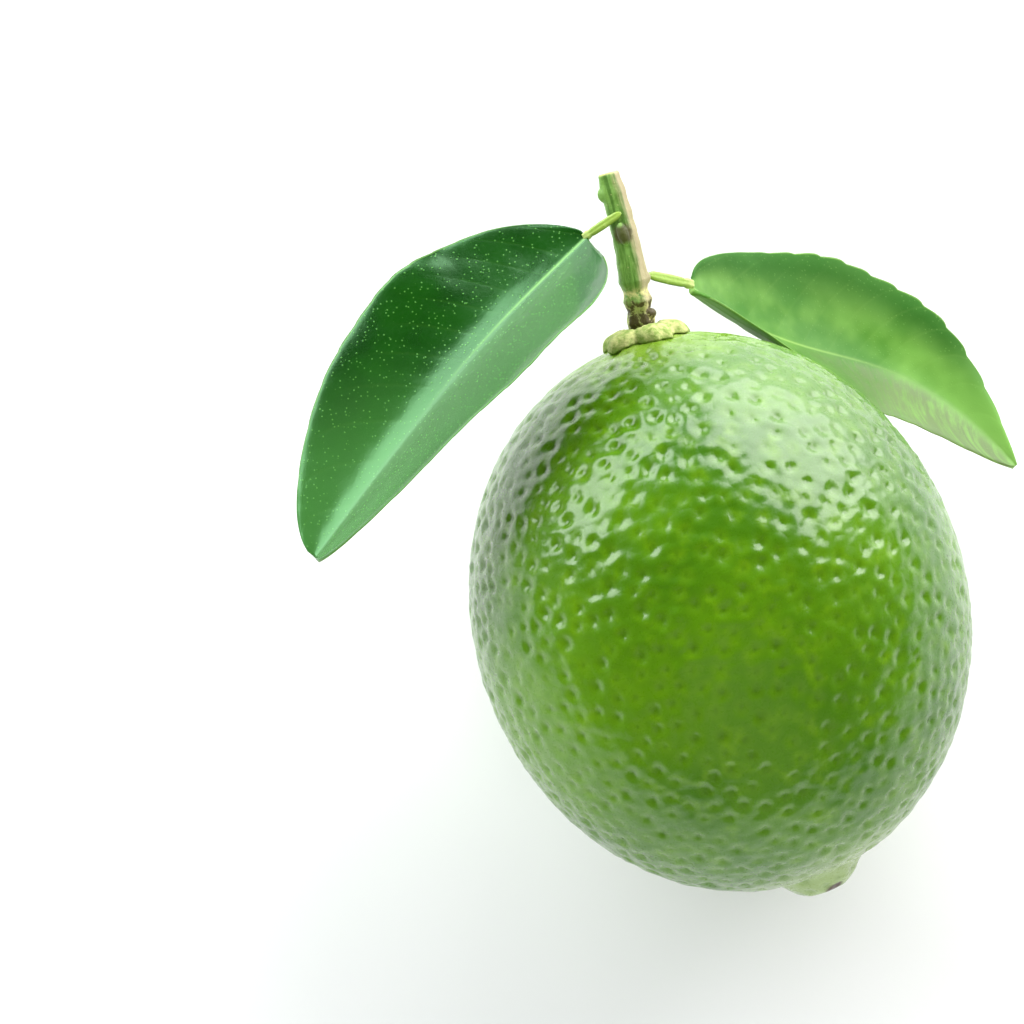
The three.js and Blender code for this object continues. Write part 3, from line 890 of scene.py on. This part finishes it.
@dataclass
class Fruit:
    """The whole lime: an egg-like body with its nipple, furrows, pits and flat resting spot."""

    radius: float = 27.0
    half_length: float = 31.0
    lump_shares: tuple = (0.004, 0.003)
    nipple_offset: float = 1.4
    nipple_height: float = 1.9
    nipple_radius: float = 4.1
    nipple_steepness: float = 5.0
    groove_radius: float = 5.6
    groove_width: float = 1.2
    groove_depth: float = 0.2
    scar_at: tuple = (1.9, -2.3)
    wave_length: float = 4.6
    wave_height: float = 0.075
    wave_squash: float = 1.9
    stalk_offset: float = 1.8
    furrow_count: int = 9
    furrow_depth: float = 0.28
    furrow_start: float = 5.0
    furrow_reach: float = 12.0
    patches: int = 128
    finish: RindFinish = field(default_factory=RindFinish)

    def to_row(self, places: np.ndarray) -> np.ndarray:
        """Turn places in the fruit's own frame, +Z towards the stalk, into the shared frame.

        Args:
            places: Places in the fruit's own frame.

        Returns:
            The same places in the shared frame.
        """
        cos, sin = math.cos(AXIS_PITCH), math.sin(AXIS_PITCH)
        x, y, z = places[..., 0], places[..., 1], places[..., 2]
        return np.stack([x, sin * y + cos * z, -cos * y + sin * z], -1) + CENTRE

    def skin(self, directions: np.ndarray) -> np.ndarray:
        """The smooth skin along directions from the centre, in the fruit's own frame.

        Args:
            directions: Directions of length 1.

        Returns:
            Places in millimetres.
        """
        x, y, z = np.moveaxis(directions, -1, 0)
        around = np.arctan2(y, x)
        belly = 1 - z * z
        three, two = self.lump_shares
        lumps = belly * (three * np.sin(3 * around + 0.7) + two * z * np.cos(2 * around - 0.5))
        places = directions * [self.radius, self.radius, self.half_length] * (1 + lumps)[..., None]
        from_nipple = np.hypot(places[..., 0] - self.nipple_offset, places[..., 1])
        dome = self.nipple_height * np.exp(-((from_nipple / self.nipple_radius) ** self.nipple_steepness))
        groove = self.groove_depth * bell(from_nipple - self.groove_radius, self.groove_width)
        from_stalk = np.hypot(places[..., 0] - self.stalk_offset, places[..., 1])
        turn = np.arctan2(places[..., 1], places[..., 0] - self.stalk_offset)
        start = smoothstep(from_stalk, self.furrow_start - 2, self.furrow_start + 1)
        fade = 1 - smoothstep(from_stalk, self.furrow_start + 1, self.furrow_reach)
        furrow = self.furrow_depth * start * fade * np.abs(np.sin(self.furrow_count * turn / 2)) ** 3
        places[..., 2] -= np.where(z < 0, dome - groove, furrow)
        return places

    def waved(self, directions: np.ndarray) -> np.ndarray:
        """The skin with its soft waves, which run longer round the fruit than along it.

        Args:
            directions: Directions of length 1.

        Returns:
            Places in the fruit's own frame.
        """
        places = self.skin(directions)
        squashed = places * [1, 1, self.wave_squash]
        waves = ripple(squashed, self.wave_length, 21) + 0.5 * ripple(squashed, self.wave_length / 2, 22)
        calm = 1 - 0.6 * smoothstep(np.abs(directions[..., 2]), 0.9, 0.98)
        return places + directions * (self.wave_height * waves * calm)[..., None]

    def top(self, x: np.ndarray, y: np.ndarray) -> np.ndarray:
        """Height of the skin near the stalk end, in the fruit's own frame.

        Args:
            x: First coordinates of the places.
            y: Second coordinates of the places.

        Returns:
            The third coordinates.
        """
        across = np.stack([x, y], -1) / self.radius
        rise = np.sqrt(1 - (across**2).sum(-1, keepdims=True))
        return self.skin(np.concatenate([across, rise], -1))[..., 2]

    def stalk_place(self) -> np.ndarray:
        """Where the stalk leaves the skin, in the shared frame."""
        return self.to_row(np.array([self.stalk_offset, 0.0, self.half_length]))

    def scar_place(self) -> np.ndarray:
        """Where the brown scar lies on the nipple.

        Returns:
            A place in the shared frame.
        """
        x, y = self.scar_at
        drop = math.sqrt(1 - (x * x + y * y) / self.radius**2)
        direction = np.array([x / self.radius, y / self.radius, -drop])
        return self.to_row(self.skin(direction[None])[0])

    def nipple_place(self) -> np.ndarray:
        """The tip of the nipple, in the shared frame."""
        return self.to_row(np.array([self.nipple_offset, 0.0, -self.half_length - self.nipple_height]))

    def smooth_body(self) -> bpy.types.Object:
        """The body before its pits: a cube's faces of even patches, swollen to the skin.

        Returns:
            The object.
        """
        steps = np.tan(np.linspace(-math.pi / 4, math.pi / 4, self.patches + 1))
        across, up = np.meshgrid(steps, steps, indexing="ij")
        flat = np.stack([across, up, np.ones_like(up)], -1)
        turns = {(0, 1, 2): [-1, 1, -1], (2, 0, 1): [-1, -1, 1], (1, 2, 0): [1, -1, -1]}
        sides = [flat[..., order] * sign for order, turn in turns.items() for sign in ([1, 1, 1], turn)]
        places = self.to_row(self.waved(unit(np.concatenate([s.reshape(-1, 3) for s in sides]))))
        places[:, 2] = np.maximum(places[:, 2], 0)
        size = self.patches + 1
        faces = np.concatenate([grid_faces(size, size, i * size**2, flip=True) for i in range(len(sides))])
        _, first, same = np.unique(np.round(places, 5), axis=0, return_index=True, return_inverse=True)
        return make_mesh("lime_fruit", places[first], same.ravel()[faces])

    def make(self) -> bpy.types.Object:
        """Make the fruit and place it in the frame.

        Returns:
            The piece.
        """
        piece = self.smooth_body()
        stalk, scar = tuple(self.stalk_place()), tuple(self.scar_place())
        pits = PitTree(stalk_at=stalk, nipple_at=tuple(self.nipple_place()))
        pits.press(piece, self.finish.material(scar, stalk))
        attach(piece, BODY)
        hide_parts("fruit")
        return piece


@dataclass
class Calyx:
    """The five-lobed dry star between the fruit and the twig."""

    fruit: Fruit
    lobes: int = 5
    radius: float = 4.9
    notch: float = 1.3
    thickness: float = 1.55
    rim: float = 1.0
    well: float = 1.9
    well_depth: float = 0.75
    frays: tuple = ((7, 0.14, 1.0), (17, 0.09, 0.0))
    fold_height: float = 0.12
    pleat_height: float = 0.05
    sides: int = 180
    steps: int = 34
    finish: CalyxFinish = field(default_factory=CalyxFinish)

    def ring(self, share: float, lift: float) -> np.ndarray:
        """One ring of the star.

        Args:
            share: Part of the way from the middle to the edge.
            lift: 1 on the upper face, 0 on the underside.

        Returns:
            Places in the shared frame.
        """
        turn = -np.arange(self.sides) / self.sides * 2 * math.pi
        edge = self.radius - self.notch * (0.5 - 0.5 * np.cos(self.lobes * turn)) ** 1.5
        edge += sum(height * np.sin(count * turn + shift) for count, height, shift in self.frays)
        reach = share * edge
        x = self.fruit.stalk_offset + reach * np.cos(turn)
        y = reach * np.sin(turn)
        well = self.well_depth * (1 - smoothstep(reach, self.well - 0.3, self.well + 0.5))
        top = (self.thickness - well) * (1 - share**4) + self.rim * share**4
        fold = self.fold_height * np.cos(self.lobes * turn) * share
        fold += self.pleat_height * np.sin(23 * turn + 9 * share) * share
        round_edge = math.sqrt(max(1 - share**14, 0.04))
        height = self.fruit.top(x, y) + 0.05 + lift * (top + fold) * round_edge
        return self.fruit.to_row(np.stack([x, y, height], -1))

    def make(self) -> bpy.types.Object:
        """Make the calyx and place it in the frame.

        Returns:
            The piece.
        """
        shares = np.linspace(0.03, 1, self.steps)
        rings = [self.ring(share, 1.0) for share in shares]
        rings += [self.ring(share, 0.0) for share in shares[::-2]]
        reach = np.concatenate([shares, shares[::-2]]).repeat(self.sides)
        piece = make_mesh("lime_calyx", *tube(np.stack(rings)))
        star = np.zeros((len(piece.data.vertices), 3))
        star[: len(reach), 0] = reach
        carry(piece, "star", star)
        piece.data.materials.append(self.finish.material())
        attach(piece, BODY)
        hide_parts("calyx")
        return piece


@dataclass
class Twig:
    """The woody stalk with its knobs, bud, leaf seats and cut end."""

    line: tuple = (
        (1.9, 32.9, 34.95), (2.3, 35.5, 36.3), (2.8, 38.9, 37.5), (3.3, 42.7, 38.8), (3.7, 49.3, 40.9),
    )
    radii: tuple = (
        1.4, 1.55, 1.2, 1.6, 1.25, 1.65, 1.55, 1.5, 1.45, 1.42, 1.4, 1.36, 1.34, 1.3, 1.34, 1.24, 1.14,
    )
    ridges: int = 5
    ridge_height: float = 0.09
    grain_height: float = 0.05
    grain_length: float = 1.4
    end_bevel: float = 0.25
    lump_tilt: float = 0.3
    lumps: tuple = (
        ((3.0, 42.4, 40.3), (0.62, 1.3, 0.62)),
        ((2.75, 45.0, 40.1), (0.55, 0.85, 0.5)),
        ((2.6, 47.2, 40.3), (0.75, 0.9, 0.7)),
        ((3.7, 37.9, 37.0), (0.9, 0.9, 0.75)),
        ((3.2, 34.0, 36.4), (0.7, 0.6, 0.6)),
    )
    rings: int = 150
    sides: int = 72
    voxel: float = 0.085
    knobs_end: float = 3.6
    finish: BarkFinish = field(default_factory=BarkFinish)

    def centre_line(self) -> tuple[np.ndarray, np.ndarray, np.ndarray]:
        """The centre line, bent smoothly through its points.

        Returns:
            Even places, the way the line runs there and the length so far.
        """
        points = np.array(self.line)
        ends = np.concatenate([[2 * points[0] - points[1]], points, [2 * points[-1] - points[-2]]])
        fine = []
        for a, b, c, d in zip(ends, ends[1:], ends[2:], ends[3:]):
            t = np.linspace(0, 1, 60, endpoint=False)[:, None]
            square, cube = 2 * a - 5 * b + 4 * c - d, 3 * b - a - 3 * c + d
            fine.append(0.5 * (2 * b + (c - a) * t + square * t**2 + cube * t**3))
        fine = np.concatenate([*fine, points[-1:]])
        lengths = np.concatenate([[0], np.cumsum(np.linalg.norm(np.diff(fine, axis=0), axis=1))])
        even = np.linspace(0, lengths[-1], self.rings)
        places = np.stack([np.interp(even, lengths, fine[:, i]) for i in range(3)], -1)
        return places, unit(np.gradient(places, axis=0)), even

    def frames(self, ways: np.ndarray) -> tuple[np.ndarray, np.ndarray]:
        """The sideways and the upward direction along the line."""
        side = unit(np.array([1.0, 0, 0]) - ways[:, :1] * ways)
        return side, np.cross(ways, side)

    def stem(self) -> tuple[np.ndarray, np.ndarray]:
        """The ridged, tapering stem.

        Returns:
            The vertices and the faces.
        """
        places, ways, even = self.centre_line()
        side, over = self.frames(ways)
        radius = np.interp(even / even[-1], np.linspace(0, 1, len(self.radii)), self.radii)
        turn = np.arange(self.sides) / self.sides * 2 * math.pi
        reach = radius[:, None] + self.ridge_height * np.cos(self.ridges * turn)[None]
        end = np.minimum(1, (even[-1] - even) / self.end_bevel)[:, None]
        reach = reach * np.sqrt(0.8 + 0.2 * end)
        rings = places[:, None] + side[:, None] * (reach * np.cos(turn))[..., None]
        rings = rings + over[:, None] * (reach * np.sin(turn))[..., None]
        grain = self.grain_height * ripple(rings, self.grain_length, 3)
        rings += grain[..., None] * unit(rings - places[:, None])
        return tube(rings)

    def lump(self, centre: tuple, size: tuple) -> tuple[np.ndarray, np.ndarray]:
        """One round lump.

        Args:
            centre: Its middle.
            size: Its three half sizes.

        Returns:
            The vertices and the faces.
        """
        rise = np.linspace(-math.pi / 2 + 0.08, math.pi / 2 - 0.08, 24)
        turn = np.arange(32) / 32 * 2 * math.pi
        ring = np.cos(rise)[:, None]
        ball = np.stack([ring * np.cos(turn), ring * np.sin(turn), np.sin(rise)[:, None] + 0 * turn], -1)
        ball = ball * size
        tilt = Matrix.Rotation(self.lump_tilt, 3, "X")
        return tube(ball @ np.array(tilt).T + centre)

    def make(self) -> bpy.types.Object:
        """Make the twig as one skin over all its lumps and place it in the frame.

        Returns:
            The piece.
        """
        bodies = [self.stem(), *(self.lump(*spec) for spec in self.lumps)]
        starts = np.cumsum([0, *(len(v) for v, _ in bodies)])
        vertices = np.concatenate([v for v, _ in bodies])
        faces = np.concatenate([f + s for (_, f), s in zip(bodies, starts)])
        piece = make_mesh("lime_twig", vertices, faces)
        remesh = piece.modifiers.new("one_skin", "REMESH")
        remesh.mode = "VOXEL"
        remesh.voxel_size = self.voxel * MM
        mesh = settle(piece, remesh)
        places, ways, even = self.centre_line()
        side, over = self.frames(ways)
        points = np.empty(len(mesh.vertices) * 3, dtype=np.float32)
        mesh.vertices.foreach_get("co", points)
        points = points.reshape(-1, 3) / MM
        nearest = np.linalg.norm(points[:, None] - places[None, ::3], axis=-1).argmin(1) * 3
        away = points - places[nearest]
        along = even[nearest] + (away * ways[nearest]).sum(-1)
        across = unit(np.stack([(away * side[nearest]).sum(-1), (away * over[nearest]).sum(-1)], -1) + 1e-9)
        carry(piece, "bark", np.concatenate([along[:, None], across], -1))
        mesh.materials.clear()
        mesh.materials.append(self.finish.material(even[-1], self.knobs_end, self.lumps[0][0]))
        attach(piece, BODY)
        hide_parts("twig")
        return piece


@dataclass
class Petiole:
    """A short flattened leaf stalk with narrow wings."""

    name: str
    node: str
    start: tuple
    end: tuple
    half_width: float
    half_thickness: float
    root: float = 0.9
    tip: float = 0.85
    wing: float = 1.2
    rings: int = 60
    sides: int = 40
    finish: PetioleFinish = field(default_factory=PetioleFinish)

    def make(self) -> bpy.types.Object:
        """Make the petiole and place it in the frame.

        Returns:
            The piece.
        """
        start, end = np.array(self.start), np.array(self.end)
        way = unit(end - start)
        side = unit(np.cross(way, [0, 0, 1.0]))
        over = np.cross(way, side)
        start, end = start - way * self.root, end + way * self.tip
        share = np.linspace(0, 1, self.rings)[:, None]
        turn = np.arange(self.sides) / self.sides * 2 * math.pi
        wide = 1 + (self.wing - 1) * np.sin(math.pi * share)
        joint = 1 + 0.18 * bell(share - 0.9, 0.05) - 0.12 * bell(share - 0.82, 0.04)
        closing = np.sqrt(1 - (1 - np.clip(share / 0.16, 0.04, 1)) ** 2)
        across = self.half_width * wide * joint * closing * np.cos(turn)
        groove = 0.22 * self.half_thickness * bell(turn - math.pi * 1.5, 0.4)
        high = (self.half_thickness * joint * np.sin(turn) + groove) * closing
        middle = start + share * (end - start)
        rings = middle[:, None] + across[..., None] * side + high[..., None] * over
        piece = make_mesh(self.name, *tube(rings))
        stalk = np.zeros((len(piece.data.vertices), 3))
        stalk[:-2, 0] = share.repeat(self.sides)
        stalk[:-2, 2] = -np.sin(np.tile(turn, self.rings))
        stalk[-1, 0] = 1
        carry(piece, "stalk", stalk)
        piece.data.materials.append(self.finish.material())
        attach(piece, BODY)
        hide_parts(self.node)
        return piece


@dataclass(frozen=True)
class BladeHalf:
    """One half of a blade: its width and how it rises and curls beside the midrib."""

    width: float
    rise: float
    base_power: float
    tip_power: float
    sweep: float
    wave: float
    tooth: float
    curl: float = 0.1
    roll: float = 0.0


@dataclass
class Leaf:
    """A folded citrus leaf blade on a curved midrib."""

    name: str
    node: str
    slot: Slot
    midrib: tuple
    face_at_base: tuple
    face_at_tip: tuple
    left: BladeHalf
    right: BladeHalf
    upper: BladeFinish
    under: BladeFinish
    thickness: float = 0.42
    teeth: int = 14
    waves: int = 3
    base_width: float = 0.45
    tip_width: float = 0.15
    fold_softness: float = 0.4
    vein_pairs: int = 11
    vein_lean: float = 0.55
    vein_dip: float = 0.015
    quilt: float = 0.025
    vein_rise: float = 0.09
    rib_width: float = 0.6
    rib_dip: float = 0.1
    keel: float = 0.42
    span: tuple = (0.004, 0.998)
    edge_crowding: float = 0.45
    rows: int = 260
    half_columns: int = 34

    def width_share(self, along: np.ndarray, half: BladeHalf) -> np.ndarray:
        """Share of the full half width at places along the midrib.

        Args:
            along: Places along the midrib, from 0 to 1.
            half: That half's sizes.

        Returns:
            Shares from 0 to 1.
        """
        widest = half.base_power / (half.base_power + half.tip_power)
        shape: Callable = lambda t: t**half.base_power * (1 - t) ** half.tip_power
        return shape(along) / shape(widest)

    def half_blade(self, t: np.ndarray, across: np.ndarray, half: BladeHalf, sign: int) -> tuple:
        """Places of one half.

        Args:
            t: Places along the midrib, from 0 to 1, as a column.
            across: Shares of the half width, from 0 to 1, as a row.
            half: That half's sizes.
            sign: 1 for the left half, -1 for the right one.

        Returns:
            Places, and the distance from the midrib in millimetres.
        """
        a, b, c, d = np.array(self.midrib)
        u = t[..., None]
        centre = (1 - u) ** 3 * a + 3 * (1 - u) ** 2 * u * b + 3 * (1 - u) * u**2 * c + u**3 * d
        forward = unit((1 - u) ** 2 * (b - a) + 2 * (1 - u) * u * (c - b) + u**2 * (d - c))
        face = np.array(self.face_at_base) * (1 - u) + np.array(self.face_at_tip) * u
        side = unit(np.cross(face, forward))
        over = np.cross(forward, side)
        end_width = self.base_width * (1 - t) + self.tip_width * t
        width = end_width + (half.width - end_width) * self.width_share(t, half)
        phase = (t * self.teeth) % 1
        tooth = half.tooth * 1.5 * phase * (1 - phase**6) * across**8 * smoothstep(t, 0.08, 0.4)
        tooth = tooth * np.minimum(1, width / 6)
        fold = np.hypot(across, self.fold_softness) - self.fold_softness
        fold = fold / (math.hypot(1, self.fold_softness) - self.fold_softness)
        swing = np.sin(2 * math.pi * self.waves * t + sign * across) * np.sin(math.pi * t)
        out = across * width + tooth
        high = width * (half.rise * fold - half.curl * across**2 - half.roll * across**6)
        high = high + half.wave * across**2 * swing
        back = half.sweep * width * across * (1 - t) ** 2
        places = centre + side * (sign * out)[..., None] + over * high[..., None] - forward * back[..., None]
        return places, sign * out

    def make(self) -> bpy.types.Object:
        """Make the blade and place it in the frame.

        Returns:
            The piece.
        """
        along = np.linspace(*self.span, self.rows)[:, None]
        spread = np.linspace(0, 1, self.half_columns + 1)
        spread += self.edge_crowding * (np.sin(spread * math.pi / 2) - spread)
        left, left_out = self.half_blade(along, spread[None, ::-1], self.left, 1)
        right, right_out = self.half_blade(along, spread[None, 1:], self.right, -1)
        places = np.concatenate([left, right], 1)
        out = np.concatenate([left_out, right_out], 1)
        share = np.concatenate([spread[::-1], spread[1:]])[None] + 0 * out
        length = np.linalg.norm(np.diff(places[:, self.half_columns], axis=0), axis=1).sum()
        beside = np.abs(out)
        order = self.vein_pairs * (along - self.vein_lean * beside / length - 0.06 * share**3)
        order = order + np.where(out < 0, 0.5, 0.0)
        line = np.abs((order % 1) - 0.5) * 2
        vein = bell(line, 0.16) * smoothstep(share, 0.02, 0.1) * (1 - smoothstep(share, 0.82, 0.97))
        forward = np.gradient(places, axis=0)
        inward = np.gradient(places, axis=1)
        normal = unit(np.cross(inward, forward))
        margin = np.sqrt(np.maximum(1 - share**12, 0.03))
        quilt = self.quilt * ripple(places, 3.8, 5) * smoothstep(share, 0.05, 0.3)
        rib = bell(out, self.rib_width) * (1 - 0.65 * along)
        half = self.thickness / 2 * margin
        upper = places + normal * (half + quilt - self.vein_dip * vein - self.rib_dip * rib)[..., None]
        under = places - normal * (half - quilt + self.vein_rise * vein + self.keel * rib)[..., None]
        rows, columns = out.shape
        count = rows * columns
        vertices = np.concatenate([upper, under]).reshape(-1, 3)
        piece = make_mesh(self.name, vertices, self.closed_faces(rows, columns))
        blade = np.stack([order, out, share], -1).reshape(-1, 3)
        carry(piece, "blade", np.concatenate([blade, blade]))
        piece.data.materials.append(self.upper.material())
        piece.data.materials.append(self.under.material())
        faces = [Face.UNDER if min(p.vertices) >= count else Face.UPPER for p in piece.data.polygons]
        piece.data.polygons.foreach_set("material_index", [face.value for face in faces])
        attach(piece, BODY)
        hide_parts(self.node)
        return piece

    def closed_faces(self, rows: int, columns: int) -> np.ndarray:
        """The faces of both sides, closed along the margin, the base and the tip.

        Args:
            rows: Rows of points on each side.
            columns: Points in a row.

        Returns:
            Rows of four point numbers.
        """
        count = rows * columns
        upper = grid_faces(rows, columns)
        under = grid_faces(rows, columns, count, flip=True)
        left = np.arange(rows) * columns
        right = left + columns - 1
        loop = np.concatenate([np.arange(columns), right[1:], np.arange(count - 2, count - columns - 1, -1)])
        loop = np.concatenate([loop, left[-2:0:-1]])
        after = np.roll(loop, -1)
        wall = np.stack([loop, loop + count, after + count, after], -1)
        return np.concatenate([upper, under, wall])


@dataclass(frozen=True)
class SoftBox:
    """One soft rectangular lamp that looks at the fruit.

    The azimuth turns from +Y towards +X and the elevation rises from the surface, both in degrees. The
    distance, the width and the height are in metres, and the radiance is the brightness of the lamp's face.
    """

    name: str
    azimuth: float
    elevation: float
    distance: float
    width: float
    height: float
    radiance: float
    tint: Colour = (1.0, 1.0, 1.0)
    mirrored: bool = True

    def make(self) -> None:
        """Place the lamp."""
        a, e = math.radians(self.azimuth), math.radians(self.elevation)
        direction = Vector((math.sin(a) * math.cos(e), math.cos(a) * math.cos(e), math.sin(e)))
        data = bpy.data.lights.new(self.name, "AREA")
        data.shape = "RECTANGLE"
        data.size, data.size_y = self.width, self.height
        data.energy = self.radiance * math.pi * self.width * self.height
        data.color = self.tint
        lamp = bpy.data.objects.new(self.name, data)
        lamp.location = Vector(CENTRE * MM) + direction * self.distance
        lamp.rotation_euler = direction.to_track_quat("Z", "Y").to_euler()
        lamp.visible_glossy = self.mirrored
        bpy.context.scene.collection.objects.link(lamp)


@dataclass
class Studio:
    """The pale surface, the soft lights and the camera at the photo's viewing angle."""

    azimuth: float = math.radians(-19.6)
    elevation: float = math.radians(78)
    distance: float = 520.0
    frame_width: float = 111.9
    sensor: float = 36.0
    aim_right: float = -22.7
    aim_up: float = 10.9
    surface_size: float = 3.0
    overhead: float = 0.07
    horizon: float = 0.17
    horizon_reach: tuple = (0.75, 0.1)
    sky_tone: Colour = (0.95, 0.98, 1.0)
    boxes: tuple[SoftBox, ...] = (
        SoftBox("key_box", 49.0, 22.0, 0.45, 0.5, 0.42, 7.0),
        SoftBox("left_box", -28.0, 19.0, 0.5, 0.56, 0.36, 6.6, tint=(0.94, 1.0, 0.98)),
        SoftBox("front_fill", 190.0, 38.0, 0.9, 0.9, 0.9, 3.1, mirrored=False),
    )

    def axes(self) -> tuple[np.ndarray, np.ndarray, np.ndarray]:
        """The picture's own directions.

        Returns:
            Right, up and backward.
        """
        a, e = self.azimuth, self.elevation
        back = np.array([math.sin(a) * math.cos(e), -math.cos(a) * math.cos(e), math.sin(e)])
        right = np.array([math.cos(a), math.sin(a), 0.0])
        return right, np.cross(back, right), back

    def camera(self) -> None:
        """Place the camera."""
        right, up, back = self.axes()
        aim = CENTRE + right * self.aim_right + up * self.aim_up
        data = bpy.data.cameras.new("camera")
        data.sensor_width = self.sensor
        data.lens = self.sensor * self.distance / self.frame_width
        data.clip_end = 20.0
        camera = bpy.data.objects.new("camera", data)
        turn = Matrix([right, up, back]).transposed().to_4x4()
        camera.matrix_world = Matrix.Translation(Vector((aim + back * self.distance) * MM)) @ turn
        bpy.context.scene.collection.objects.link(camera)
        bpy.context.scene.camera = camera

    def surface(self) -> None:
        """Add the pale surface."""
        half = self.surface_size / 2 / MM
        corners = np.array([[-half, -half, 0], [half, -half, 0], [half, half, 0], [-half, half, 0]])
        floor = make_mesh("surface", corners, np.array([[0, 1, 2, 3]]))
        floor.data.materials.append(StageFinish().material())

    def world(self) -> None:
        """Add the surrounding light, dim overhead and brighter at the horizon."""
        world = bpy.data.worlds.new("soft_white")
        world.use_nodes = True
        nodes = Nodes(world.node_tree)
        way = nodes.add("ShaderNodeTexCoord", {}, {}, "Generated")
        _, _, height = nodes.parts(way)
        glow = self.overhead + height.smooth(*self.horizon_reach) * (self.horizon - self.overhead)
        background = world.node_tree.nodes["Background"]
        background.inputs["Color"].default_value = (*self.sky_tone, 1.0)
        world.node_tree.links.new(glow.socket, background.inputs["Strength"])
        bpy.context.scene.world = world

    def make(self) -> None:
        """Build the studio."""
        bpy.context.scene.view_settings.view_transform = "Standard"
        self.world()
        self.surface()
        self.camera()
        for box in self.boxes:
            box.make()


def leaves() -> list[Leaf]:
    """The two leaves with their own shapes and finishes.

    Returns:
        The left and the right leaf.
    """
    dark_upper = BladeFinish(
        "dark_leaf_upper", srgb(5, 50, 0), srgb(14, 68, 2), srgb(110, 156, 60), srgb(100, 164, 72),
        roughness=0.22, gloss=1.7, sheen=(0.5, 1.0, 0.55),
        vein_strength=0.05, dot_strength=0.5, bump_depth=0.05,
        side=1.0, painted_reflection_tone=srgb(38, 88, 10), painted_reflection_strength=0.7,
        tip_painted_sheen=srgb(70, 128, 58), tip_painted_sheen_strength=0.75,
    )
    dark_under = BladeFinish(
        "dark_leaf_under", srgb(84, 122, 56), srgb(100, 138, 70), srgb(150, 176, 104), srgb(130, 164, 96)
    )
    light_upper = BladeFinish(
        "light_leaf_upper", srgb(60, 116, 22), srgb(108, 156, 64), srgb(146, 182, 92), srgb(118, 166, 80),
        roughness=0.46, gloss=1.33, sheen=(0.8, 1.0, 0.85),
        vein_strength=0.08, dot_strength=0.2, bump_depth=0.05,
        side=-1.0, painted_reflection_tone=srgb(96, 110, 72), painted_reflection_strength=0.9, painted_reflection_streaks=0.6, painted_reflection_start=8.0,
        margin_painted_shade=srgb(28, 82, 6), margin_painted_shade_strength=0.9, tip_painted_sheen=srgb(128, 176, 84), tip_painted_sheen_strength=0.8,
    )
    light_under = BladeFinish(
        "light_leaf_under", srgb(100, 140, 70), srgb(118, 154, 84), srgb(160, 184, 116), srgb(140, 172, 104)
    )
    left_leaf = Leaf(
        "lime_leaf_left", "leaf_left", Slot.DARK_LEAF,
        midrib=((-0.5, 43.8, 39.1), (-12.3, 37.7, 40.8), (-17.3, 35.0, 45.8), (-40.1, 20.2, 37.7)),
        face_at_base=(-0.31, 0.36, 0.88), face_at_tip=(-0.34, 0.44, 0.83),
        left=BladeHalf(12.5, 0.6, base_power=0.22, tip_power=0.53, sweep=-0.4, wave=0.2, tooth=0.06),
        right=BladeHalf(12.5, 0.42, base_power=0.71, tip_power=0.53, sweep=0.13, wave=0.25, tooth=0.12),
        upper=dark_upper, under=dark_under, vein_dip=0.004, quilt=0.02,
    )
    right_leaf = Leaf(
        "lime_leaf_right", "leaf_right", Slot.LIGHT_LEAF,
        midrib=((9.1, 36.4, 31.2), (22.4, 25.3, 7.1), (29.7, 30.1, 15.2), (38.7, 8.7, 13.4)),
        face_at_base=(0.69, 0.43, 0.57), face_at_tip=(0.21, 0.01, 0.98),
        left=BladeHalf(
            11.1, 0.53, base_power=0.5, tip_power=1.0, sweep=-0.21, wave=0.3, tooth=0.4, roll=0.08
        ),
        right=BladeHalf(10.1, 0.51, base_power=0.44, tip_power=0.71, sweep=-0.15, wave=0.1, tooth=0.08),
        upper=light_upper, under=light_under, vein_dip=0.008,
    )
    return [left_leaf, right_leaf]


def petioles() -> list[Petiole]:
    """The two leaf stalks.

    Returns:
        The left and the right petiole.
    """
    return [
        Petiole("lime_petiole_left", "petiole_left", (2.75, 44.45, 40.55), (-0.2, 43.95, 39.3), 0.42, 0.38),
        Petiole("lime_petiole_right", "petiole_right", (5.0, 37.9, 36.2), (8.7, 36.9, 31.9), 0.5, 0.42),
    ]


def main() -> None:
    """Build every piece, then the studio."""
    logging.basicConfig(level=logging.INFO, format="%(name)s: %(message)s")
    fruit = Fruit()
    builders = [fruit, Calyx(fruit), Twig(), *petioles(), *leaves()]
    for builder in builders:
        piece = builder.make()
        log.info("%s has %d vertices", piece.name, len(piece.data.vertices))
    Studio().make()


if __name__ == "__main__":
    main()
